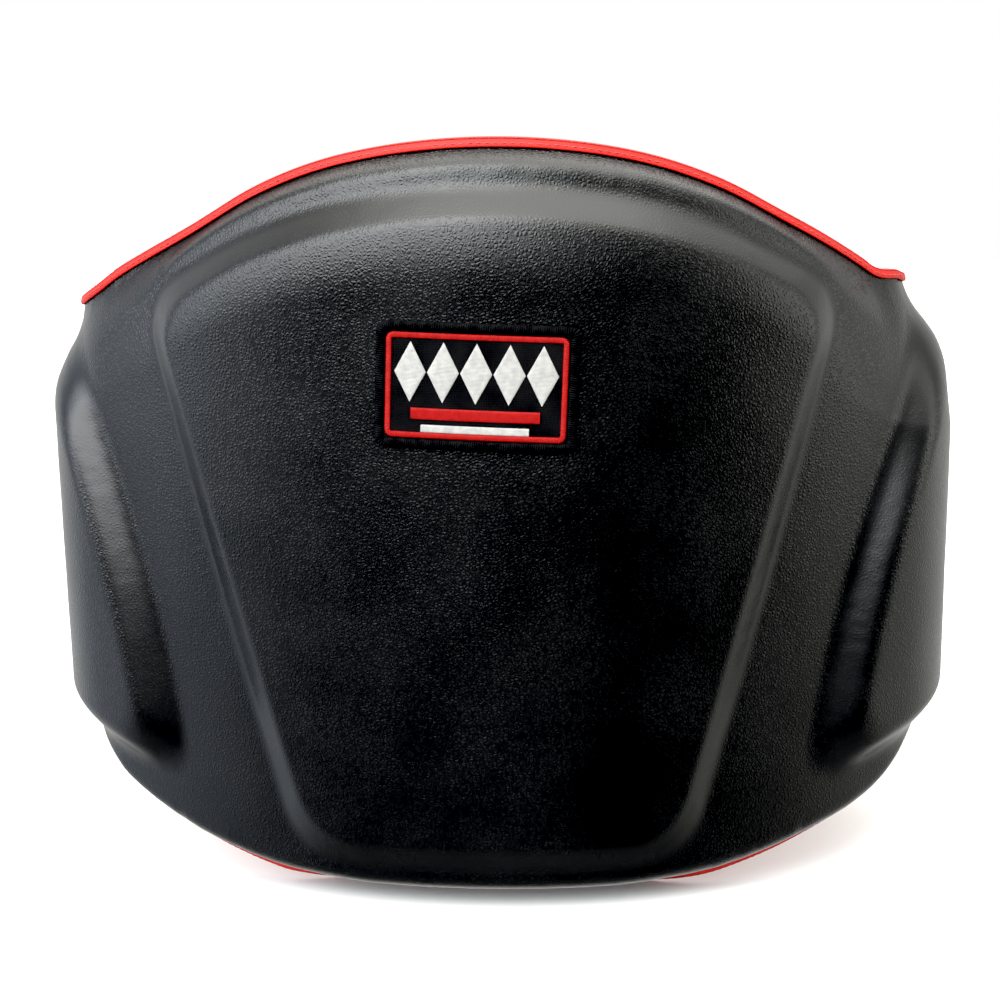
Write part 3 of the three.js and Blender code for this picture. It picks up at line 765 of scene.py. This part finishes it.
def binding_profile(shrink):
    """Corners of the folded strip as (distance out of the rim, h), front leg tip first."""
    front = RIM_FRONT + 0.4 + BINDING_THICK - shrink
    back = RIM_BACK - 0.4 - BINDING_THICK + shrink
    web = WEB - shrink
    inside = BINDING_THICK
    radius = 1.5
    leg = BINDING_LEG + 0.6
    corner = [(0.29, 0.29), (0.08, 0.62)]
    outer = [(-leg, front - 0.5), (-leg + 0.5, front), (-leg / 2, front + 0.25), (web - radius, front)]
    outer += [(web - radius * a, front - radius * b) for b, a in corner]
    outer += [(web, front - radius), (web + 0.2, (front + back) / 2), (web, back + radius)]
    outer += [(web - radius * a, back + radius * b) for a, b in corner[::-1]]
    outer += [(web - radius, back), (-leg / 2, back - 0.25), (-leg + 0.5, back), (-leg, back + 0.5)]
    inner = [(-leg, back + inside), (web - inside, back + inside)]
    inner += [(web - inside, front - inside), (-leg, front - inside)]
    return outer + inner


def build_binding(kind, name, node_name):
    u, z, du, dz = rim_path(kind)
    along = np.cumsum(np.hypot(np.gradient(u), np.gradient(z)))
    shrink = 0.0 if kind in ("top", "bottom") else 0.35
    drop = setback(u, z)
    pucker = 0.16 * np.sin(along * 2 * math.pi / 4.2) + 0.12 * waves(along, 0, 9, 31)
    sections = []
    for d, h in binding_profile(shrink):
        swell = pucker * (1 if h > -6.5 else -1) * (abs(d) < BINDING_LEG + 0.3)
        sections.append(at(u + d * du, z + d * dz, h - drop + swell))
    points, faces = sweep(np.stack(sections, 1), False)
    make_object(name, points, faces, red_leather, "shell", [node_name])
    runs = []
    for h, out in ((RIM_FRONT + 0.4 + BINDING_THICK + 0.12, 1), (RIM_BACK - 0.4 - BINDING_THICK - 0.12, -1)):
        inset = -BINDING_LEG + 1.3
        line = at(u + inset * du, z + inset * dz, h - drop)
        above = at(u + inset * du, z + inset * dz, h - drop + out)
        keep = slice(4, -4)
        runs.append((line[keep], (above - line)[keep]))
    points, faces = stitch_mesh(runs)
    make_object(name + "_stitches", points, faces, dark_red_thread, "shell")


build_binding("top", "top_tape", "top_binding")
build_binding("bottom", "bottom_tape", "bottom_binding")
build_binding("left", "left_end_tape", "left_end_binding")
build_binding("right", "right_end_tape", "right_end_binding")


# ---------- sewn patch ----------
def on_patch(s, t, lift):
    """The point s across, t up and lift out from the middle of the patch."""
    u = PATCH_U + (s * math.cos(PATCH_TILT) - t * math.sin(PATCH_TILT)) / (1 + PANEL_RISE * CURVE_FRONT)
    z = PATCH_Z + s * math.sin(PATCH_TILT) + t * math.cos(PATCH_TILT)
    return at(u, z, PANEL_RISE + lift)


def rounded_ring(width, height, radius, count):
    """Points and outward directions round a rectangle with round corners, evenly spaced."""
    a = width / 2 - radius
    b = height / 2 - radius
    quarter = np.linspace(0, math.pi / 2, 13)
    centres = [(a, b, 0), (-a, b, 1), (-a, -b, 2), (a, -b, 3)]
    s = np.concatenate([cs + radius * np.cos(quarter + k * math.pi / 2) for cs, _, k in centres])
    t = np.concatenate([ct + radius * np.sin(quarter + k * math.pi / 2) for _, ct, k in centres])
    out = np.concatenate([quarter + k * math.pi / 2 for k in range(4)])
    s = np.append(s, s[0])
    t = np.append(t, t[0])
    out = np.append(out, out[0] + 2 * math.pi)
    total = np.concatenate([[0], np.cumsum(np.hypot(np.diff(s), np.diff(t)))])
    wanted = np.arange(count) / count * total[-1]
    angle = np.interp(wanted, total, out)
    return np.interp(wanted, total, s), np.interp(wanted, total, t), angle, wanted, total[-1]


def thread_ring(name, width, height, radius, thick, base, high, pitch, slant, colour, node_name):
    """A ring of threads laid side by side across a band, as on a satin or merrowed edge."""
    count = int(round(2 * (width + height) / pitch)) * 5
    s, t, angle, along, total = rounded_ring(width - thick, height - thick, radius, count)
    threads = count / 5
    across = np.linspace(-1, 1, 9)
    sections = []
    for a in across:
        phase = along / total * threads * 2 * math.pi + slant * a
        ridge = 0.5 + 0.5 * np.cos(phase)
        dome = math.sqrt(max(0.0, 1 - (a * 0.93) ** 2))
        lift = base + high * dome * (0.72 + 0.28 * ridge)
        half = thick / 2 * (1 + 0.05 * ridge)
        sections.append(on_patch(s + a * half * np.cos(angle), t + a * half * np.sin(angle), lift))
    for a in (0.9, -0.9):
        half = thick / 2
        sections.append(on_patch(s + a * half * np.cos(angle), t + a * half * np.sin(angle), base))
    points, faces = sweep(np.stack(sections, 1), True)
    make_object(name, points, faces, colour, "shell", [node_name])


def satin_field(name, outline, t0, t1, colour, node_name, turned=False):
    """Threads side by side over a shape: outline(t) gives the two ends of the thread at t."""
    per_thread = 4
    rows = int(round((t1 - t0) / SATIN_PITCH)) * per_thread + 1
    t = np.linspace(t0, t1, rows)[:, None]
    low, high_end = outline(t)
    across = np.linspace(-1, 1, 13)[None, :]
    s = (low + high_end) / 2 + across * (high_end - low) / 2
    ridge = 0.5 + 0.5 * np.cos((t - t0) / SATIN_PITCH * 2 * math.pi)
    dome = np.sqrt(np.clip(1 - (across * 0.96) ** 4, 0, 1))
    span = np.clip((high_end - low) / 4, 0.25, 1)
    lift = SATIN_BASE + SATIN_HIGH * dome * span * (0.68 + 0.32 * ridge)
    t = t + 0 * s
    if turned:
        s, t = t, s
    points, faces = slab(on_patch(s, t, lift), on_patch(s, t, SATIN_BASE))
    make_object(name, points, faces, colour, "shell", [node_name])


def build_patch():
    corner = 4.0
    half_width = PATCH_WIDTH / 2 - 1.2
    half_height = PATCH_HEIGHT / 2 - 1.2
    columns = np.linspace(-1, 1, 61) * half_width
    rows = np.linspace(-1, 1, 41) * half_height
    a, b = np.meshgrid(columns, rows, indexing="ij")
    # The corners are pulled in so that the cloth stays inside its round edge.
    over_a = np.maximum(np.abs(a) - (half_width - corner), 0)
    over_b = np.maximum(np.abs(b) - (half_height - corner), 0)
    far = np.maximum(np.hypot(over_a, over_b), 1e-6)
    pull = np.minimum(1, np.maximum(over_a, over_b) / far)
    s = np.sign(a) * (np.abs(a) - over_a * (1 - pull))
    t = np.sign(b) * (np.abs(b) - over_b * (1 - pull))
    soft = 0.12 * waves(s, t, 14, 41)
    points, faces = slab(on_patch(s, t, TWILL_TOP + soft - 0.1), on_patch(s, t, GAP - 0.25 + 0 * s))
    make_object("patch_cloth", points, faces, twill_cloth, "shell", ["patch_backing"])
    thread_ring(
        "patch_edge_thread", PATCH_WIDTH, PATCH_HEIGHT, 3.0, 4.8, GAP - 0.1, 2.4, 1.15, 1.3,
        black_thread, "patch_border",
    )
    thread_ring(
        "patch_frame_thread", PATCH_WIDTH - 10.4, PATCH_HEIGHT - 10.4, 2.4, 2.7, SATIN_BASE, 0.95, 0.75, 0.9,
        red_thread, "patch_frame",
    )
    for k in range(DIAMOND_COUNT):
        middle = (k - (DIAMOND_COUNT - 1) / 2) * DIAMOND_PITCH

        def diamond(t, middle=middle):
            share = np.abs(t - DIAMOND_LEVEL) / (DIAMOND_HALF_HEIGHT + 0.1)
            half = DIAMOND_HALF_WIDTH * (1 - share) + 0.05
            return middle - half, middle + half

        satin_field(
            f"patch_diamond_thread_{k + 1}", diamond,
            DIAMOND_LEVEL - DIAMOND_HALF_HEIGHT, DIAMOND_LEVEL + DIAMOND_HALF_HEIGHT,
            white_thread, f"patch_diamond_{k + 1}",
        )
    for name, half, low, high, colour, slot in (
        ("patch_bar_red", 31, -16.3, -10.8, red_thread, "red_thread"),
        ("patch_bar_white", 26, -22.5, -18.8, white_thread, "white_thread"),
    ):
        satin_field(
            name + "_thread", lambda t, low=low, high=high: (low + 0 * t, high + 0 * t), -half, half,
            colour, name, turned=True,
        )


build_patch()


# ---------- waist belt ----------
class BeltPath:
    """The line of one half of the belt: it leaves its wing, turns and runs along X behind the wearer."""

    def __init__(self, side, root_level, back_y):
        turn = PLAN_TURN_END
        x = PLAN_X_END + root_level * math.sin(turn) + (WEB + 0.5) * math.cos(turn)
        y = PLAN_Y_END - root_level * math.cos(turn) + (WEB + 0.5) * math.sin(turn)
        self.side, self.turn, self.x, self.y = side, turn, x, y
        self.radius = (back_y - y) / (1 + math.cos(turn))
        self.arc = self.radius * (math.pi - turn)
        self.end_x = x - self.radius * math.sin(turn)
        self.middle = self.arc + self.end_x

    def drop(self, run):
        """Height of the lower edge: high at the wing, low behind the wearer."""
        return low_edge(0) + BELT_ROOT_RISE * smooth(np.abs(self.middle - run), 25, self.middle)

    def run_at(self, x):
        """Distance along the belt at which its straight part passes x."""
        return self.arc + self.end_x - x

    def point(self, run, w, lift):
        """The point run along, w up from the lower edge and lift out from the inner face."""
        run, w, lift = np.broadcast_arrays(*(np.asarray(v, float) for v in (run, w, lift)))
        turn = np.minimum(math.pi, self.turn + run / self.radius)
        past = np.maximum(0, run - self.arc)
        x = self.x + self.radius * (np.sin(turn) - math.sin(self.turn)) - past + lift * np.sin(turn)
        y = self.y - self.radius * (np.cos(turn) - math.cos(self.turn)) - lift * np.cos(turn)
        lean = self.drop(run + 0.5) - self.drop(run - 0.5)
        return place(np.stack([self.side * x, y, self.drop(run) - WEB + w * np.hypot(1, lean)], -1))


PLAN_TURN_END = float(np.interp(HALF_WRAP, PLAN_U, PLAN_TURN))
PLAN_X_END = float(np.interp(HALF_WRAP, PLAN_U, PLAN_X))
PLAN_Y_END = float(np.interp(HALF_WRAP, PLAN_U, PLAN_Y))


def ease_ends(values, size):
    """Extra places near both ends, so that an edge can be rounded."""
    first, last = values[0], values[-1]
    near = np.array([0.0, 0.12, 0.4, 0.8]) * size
    inner = values[(values > first + size * 1.2) & (values < last - size * 1.2)]
    return np.concatenate([first + near, inner, last - near[::-1]])


def strip(path, run0, run1, w0, w1, low, high, step=3.0, wide=3.0, front_shape=None, back_shape=None):
    """A closed flat band with rounded edges. The shapes give extra thickness at (run, w)."""
    thick = high - low
    run = ease_ends(np.linspace(run0, run1, max(8, int((run1 - run0) / step))), thick * 0.7)
    w = ease_ends(np.linspace(w0, w1, max(8, int((w1 - w0) / wide))), thick * 0.7)
    r, v = np.meshgrid(run, w, indexing="ij")
    from_edge = np.minimum(np.minimum(r - run0, run1 - r), np.minimum(v - w0, w1 - v))
    edge = np.clip(from_edge / (thick * 0.7), 0, 1)
    full = 0.35 + 0.65 * np.sqrt(np.clip(1 - (1 - edge) ** 2, 0, 1))
    middle = (low + high) / 2
    front = middle + thick / 2 * full
    back = middle - thick / 2 * full
    if front_shape:
        front = front + front_shape(r, v) * edge
    if back_shape:
        back = back - back_shape(r, v) * edge
    return slab(path.point(r, v, front), path.point(r, v, back))


def box_run(path, run0, run1, w0, w1, lift, cross=False):
    """Sewing lines round a rectangle on a belt, with a cross in it where asked."""
    corners = [(run0, w0), (run1, w0), (run1, w1), (run0, w1), (run0, w0)]
    legs = list(zip(corners, corners[1:]))
    if cross:
        legs += [((run0, w0), (run1, w1)), ((run0, w1), (run1, w0))]
    runs = []
    for (ra, wa), (rb, wb) in legs:
        t = np.linspace(0, 1, 40)
        r = lerp(ra, rb, t)
        v = lerp(wa, wb, t)
        line = path.point(r, v, lift)
        runs.append((line, path.point(r, v, lift + 1.0) - line))
    return runs


loop_path = BeltPath(-1, RIM_BACK - 1.2, LOOP_BACK_Y)
LOOP_TOP = BELT_THICK + GAP + FACE_THICK
hook_path = BeltPath(1, RIM_FRONT - 1.5, LOOP_BACK_Y + LOOP_TOP + 0.6 + FACE_THICK + GAP)
LOOP_END = loop_path.run_at(-LOOP_TIP_X)
HOOK_START = hook_path.run_at(HOOK_START_X)
HOOK_TIP = hook_path.run_at(HOOK_TIP_X)


def woven(r, v):
    """Ribs of heavy webbing: short slanted floats."""
    return 0.1 * np.sin(v * 2 * math.pi / 3.6) + 0.08 * waves(r, v, 12, 51)


def elastic_ribs(r, v):
    """Lengthwise ribs of the elastic, drawn in crosswise."""
    return 0.17 * np.cos(v * 2 * math.pi / 4) + 0.05 * np.sin(r * 2 * math.pi / 3)


def fluffy(r, v):
    """The uneven pile of the loop face."""
    return 0.22 * waves(r, v, 2.4, 61) + 0.16 * waves(r, v, 6, 62)


def belt_piece(name, path, spans, levels, colour, body, slot, node_name, **shape):
    points, faces = strip(path, *spans, *levels, **shape)
    stand_for = [node_name] if node_name else []
    return make_object(name, points, faces, colour, body, stand_for)


def build_loop_side():
    belt_piece(
        "loop_webbing", loop_path, (-1.2, LOOP_END, 0, BELT_WIDTH), (0, BELT_THICK), webbing_cloth,
        "loop_side", "webbing", "loop_belt", wide=0.9, front_shape=woven, back_shape=woven,
    )
    belt_piece(
        "loop_anchor_leather", loop_path, (0.5, ANCHOR_LENGTH, 2, BELT_WIDTH - 2),
        (BELT_THICK + 0.1, LOOP_TOP), strap_leather, "loop_side", "black_leather", "loop_anchor_patch",
    )
    belt_piece(
        "loop_pile_face", loop_path, (loop_path.run_at(120), LOOP_END - 3, 4, BELT_WIDTH - 4),
        (BELT_THICK + 0.1, LOOP_TOP - 0.2), webbing_cloth, "loop_side", "loop_pile", "loop_panel",
        step=1.3, wide=1.3, front_shape=fluffy,
    )
    runs = box_run(loop_path, 4, ANCHOR_LENGTH - 4, 6, BELT_WIDTH - 6, LOOP_TOP, cross=True)
    points, faces = stitch_mesh(runs)
    make_object("loop_anchor_stitches", points, faces, red_thread, "loop_side")


def build_hook_side():
    band = belt_piece(
        "elastic_band", hook_path, (-1.2, HOOK_START + 2, 0, BELT_WIDTH), (0, ELASTIC_THICK), elastic_cloth,
        None, "elastic", "elastic_panel",
        step=1.5, wide=0.8, front_shape=elastic_ribs, back_shape=elastic_ribs,
    )
    start = hook_path.point(ANCHOR_LENGTH, 50, 0)
    end = hook_path.point(HOOK_START - 14, 50, 0)
    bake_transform(band)
    base = ELASTIC_THICK + 0.15
    belt_piece(
        "elastic_anchor_leather", hook_path, (0.5, ANCHOR_LENGTH, 2, BELT_WIDTH - 2),
        (base, base + FACE_THICK), strap_leather, "hook_side", "black_leather", "elastic_anchor_patch",
    )
    runs = box_run(hook_path, 4, ANCHOR_LENGTH - 4, 6, BELT_WIDTH - 6, base + FACE_THICK, cross=True)
    points, faces = stitch_mesh(runs)
    make_object("elastic_anchor_stitches", points, faces, red_thread, "hook_side")
    belt_piece(
        "hook_webbing", hook_path, (HOOK_START, HOOK_TIP, 0, BELT_WIDTH), (0, BELT_THICK), webbing_cloth,
        "hook_end", "webbing", "hook_base", wide=0.9, front_shape=woven, back_shape=woven,
    )
    belt_piece(
        "hook_join_leather", hook_path, (HOOK_START - 12, HOOK_START + 18, 2, BELT_WIDTH - 2),
        (base, base + FACE_THICK), strap_leather, "hook_end", "black_leather", "hook_join_patch",
    )
    runs = box_run(hook_path, HOOK_START - 8, HOOK_START + 14, 6, BELT_WIDTH - 6, base + FACE_THICK)
    points, faces = stitch_mesh(runs)
    make_object("hook_join_stitches", points, faces, red_thread, "hook_end")
    belt_piece(
        "hook_tape_face", hook_path, (hook_path.run_at(LOOP_TIP_X), HOOK_TIP - 5, 4, BELT_WIDTH - 4),
        (-GAP - FACE_THICK, -0.1), webbing_cloth, "hook_end", "hook_tape", "hook_panel",
    )
    belt_piece(
        "pull_tab_leather", hook_path, (HOOK_TIP - 3, HOOK_TIP + TAB_LENGTH, 22, BELT_WIDTH - 22),
        (0, BELT_THICK), red_leather, "tab", "red_binding", "pull_tab",
    )
    runs = box_run(hook_path, HOOK_TIP + 2, HOOK_TIP + TAB_LENGTH - 4, 26, BELT_WIDTH - 26, BELT_THICK)
    points, faces = stitch_mesh(runs)
    make_object("pull_tab_stitches", points, faces, dark_red_thread, "tab")


build_loop_side()
build_hook_side()


# ---------- floor, light ----------
def build_floor():
    bpy.ops.mesh.primitive_plane_add(size=12, location=(0, 2.5, 0))
    floor = bpy.context.object
    floor.name = "floor"
    pale = material("floor_paint", (0.62, 0.62, 0.62), 0.9, Specular_IOR_Level=0.0)
    shader = pale.node_tree.nodes["Principled BSDF"]
    shader.inputs["Emission Color"].default_value = (1, 1, 1, 1)
    shader.inputs["Emission Strength"].default_value = 0.05
    floor.data.materials.append(pale)
    floor.visible_glossy = False


def build_world():
    """A white backdrop for the camera, and bands of soft light for the surfaces."""
    world = bpy.data.worlds.new("studio")
    bpy.context.scene.world = world
    world.use_nodes = True

    def band(value, start, full, strength=1.0):
        return spread(world, value, start, full, 0.0, strength)

    def product(a, b):
        return blend_math(world, "MULTIPLY", a, b)

    def coloured(kind, a, b):
        return node(
            world, "ShaderNodeMix", {"Factor": 1.0, 6: a, 7: b}, data_type="RGBA", blend_type=kind,
        ).outputs[2]

    def tint(strength, colour):
        return coloured("MULTIPLY", strength, (*colour, 1))

    direction = node(world, "ShaderNodeTexCoord").outputs["Generated"]
    x_part, y_part, z_part = node(world, "ShaderNodeSeparateXYZ", {0: direction}).outputs
    wide = blend_math(world, "ABSOLUTE", blend_math(world, "SUBTRACT", x_part, 0.06), 0.0)
    soft_box = product(band(z_part, 0.42, 0.75, CEILING), band(wide, 1.0, 0.15))
    skylight = product(
        product(band(x_part, 0.3, -0.2, SKYLIGHT), band(y_part, -0.1, -0.6)), band(z_part, 0.12, 0.36),
    )
    wall = product(band(x_part, 0.6, 1.12, WALL), band(y_part, -1.1, 0.1))
    lights = [
        tint(soft_box, (1.0, 1.0, 0.94)),
        tint(skylight, (0.96, 0.98, 1.0)),
        tint(band(x_part, -0.56, -1.0, WINDOW), (0.80, 0.88, 1.0)),
        tint(wall, (1.0, 1.0, 0.92)),
        tint(band(y_part, 0.0, 0.8, BEHIND), (1.0, 1.0, 0.97)),
        tint(band(z_part, -0.35, -0.75, TABLE), (1.0, 1.0, 1.0)),
    ]
    light = lights[0]
    for other in lights[1:]:
        light = coloured("ADD", light, other)
    seen = node(world, "ShaderNodeLightPath").outputs["Is Camera Ray"]
    shown = node(world, "ShaderNodeMix", {"Factor": seen, 6: light, 7: (1, 1, 1, 1)}, data_type="RGBA")
    world.node_tree.links.new(shown.outputs[2], world.node_tree.nodes["Background"].inputs["Color"])


def lamp(name, location, size, power, colour):
    """A rectangular lamp aimed at the middle of the pad."""
    data = bpy.data.lights.new(name, "AREA")
    data.shape = "RECTANGLE"
    data.size, data.size_y = size
    data.energy = power
    data.color = colour
    made = bpy.data.objects.new(name, data)
    made.location = location
    made.rotation_mode = "QUATERNION"
    made.rotation_quaternion = (Vector((0, 0, 0.2)) - Vector(location)).to_track_quat("-Z", "Y")
    bpy.context.scene.collection.objects.link(made)


build_floor()
build_world()
lamp("overhead", (0.1, -0.35, 1.35), (1.3, 0.7), 5, (1, 0.99, 0.97))
lamp("left_side", (-1.25, -0.45, 0.55), (0.5, 0.9), 3, (0.86, 0.92, 1))
lamp("right_side", (1.25, -0.5, 0.55), (0.5, 0.9), 3, (1, 0.99, 0.94))

scene = bpy.context.scene
scene.view_settings.view_transform = "Standard"
scene.view_settings.look = "None"
# The picture is printed with deep blacks.
scene.view_settings.use_curve_mapping = True
scene.view_settings.curve_mapping.black_level = (BLACK_LEVEL, BLACK_LEVEL, BLACK_LEVEL)
scene.view_settings.curve_mapping.update()
